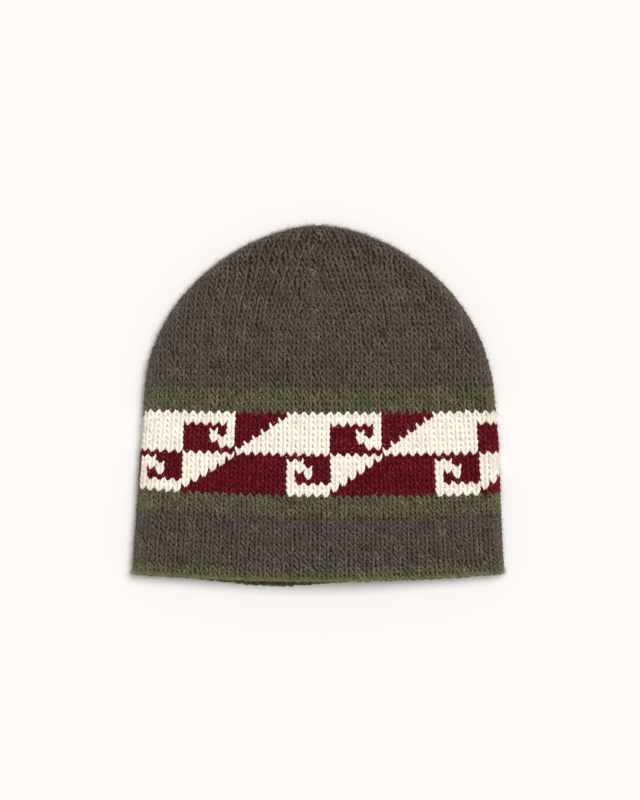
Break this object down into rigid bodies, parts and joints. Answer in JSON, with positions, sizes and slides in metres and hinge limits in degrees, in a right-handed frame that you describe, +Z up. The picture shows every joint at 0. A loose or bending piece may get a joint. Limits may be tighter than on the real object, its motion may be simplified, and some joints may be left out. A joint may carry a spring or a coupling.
{
  "type": "skullcap",
  "caption": "Knitted wool skullcap lying flat on its back, with an arched closed crown, an open hem, olive stripes and a stepped fret band in cream and burgundy.",
  "frame": {"origin": "bottom centre of the cap's bounding box: on the surface it lies on, under its middle", "axes": "+Z up from the flat back to the front, +Y from the open hem to the top of the crown, +X to the right as seen from above"},
  "size_m": [0.217, 0.2098, 0.0198],
  "materials": {
    "grey_brown_wool": "matt heathered wool, stocking stitch",
    "olive_wool": "matt heathered wool, stocking stitch",
    "fret_wool": "matt burgundy and cream wool, stranded stocking stitch"
  },
  "bodies": {
    "root": {"hem": "olive_wool", "lower_body": "grey_brown_wool", "lower_stripe": "olive_wool", "fret_band": "fret_wool", "upper_stripe": "olive_wool", "crown": "grey_brown_wool"}
  },
  "joints": []
}
